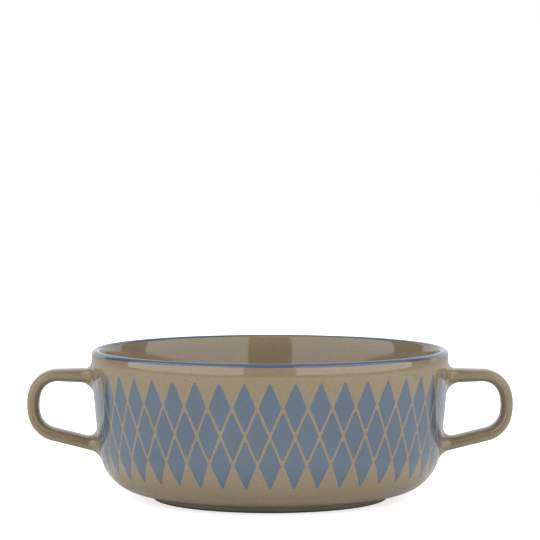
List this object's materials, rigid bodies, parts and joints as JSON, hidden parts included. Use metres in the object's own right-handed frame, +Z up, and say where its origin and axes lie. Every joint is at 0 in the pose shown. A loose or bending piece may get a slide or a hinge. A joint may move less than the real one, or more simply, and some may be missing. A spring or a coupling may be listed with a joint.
{
  "type": "lug soup bowl",
  "caption": "Round straight-sided stoneware soup bowl on a foot ring, with a loop handle on each side and a printed band.",
  "frame": {"origin": "on the table, under the middle of the foot ring", "axes": "+Z up through the mouth, X through both handles, Y towards the back"},
  "size_m": [0.1772, 0.1302, 0.0544],
  "materials": {
    "clay": "bisque, matt",
    "bare_foot": "unglazed, ground smooth",
    "glaze": "gloss glaze with fine dark specks",
    "rim_blue": "gloss glaze",
    "print_blue": "gloss print, fired into the glaze",
    "slip": "fired slip, matt"
  },
  "bodies": {
    "root": {"bowl_body": "clay", "foot_ring": "bare_foot", "inner_glaze": "glaze", "outer_glaze": "glaze", "base_glaze": "glaze", "rim_band": "rim_blue", "upper_diamonds": "print_blue", "middle_diamonds": "print_blue", "lower_diamonds": "print_blue", "left_handle": "clay", "right_handle": "clay", "left_handle_glaze": "glaze", "right_handle_glaze": "glaze", "left_upper_slip": "slip", "left_lower_slip": "slip", "right_upper_slip": "slip", "right_lower_slip": "slip"}
  },
  "joints": []
}
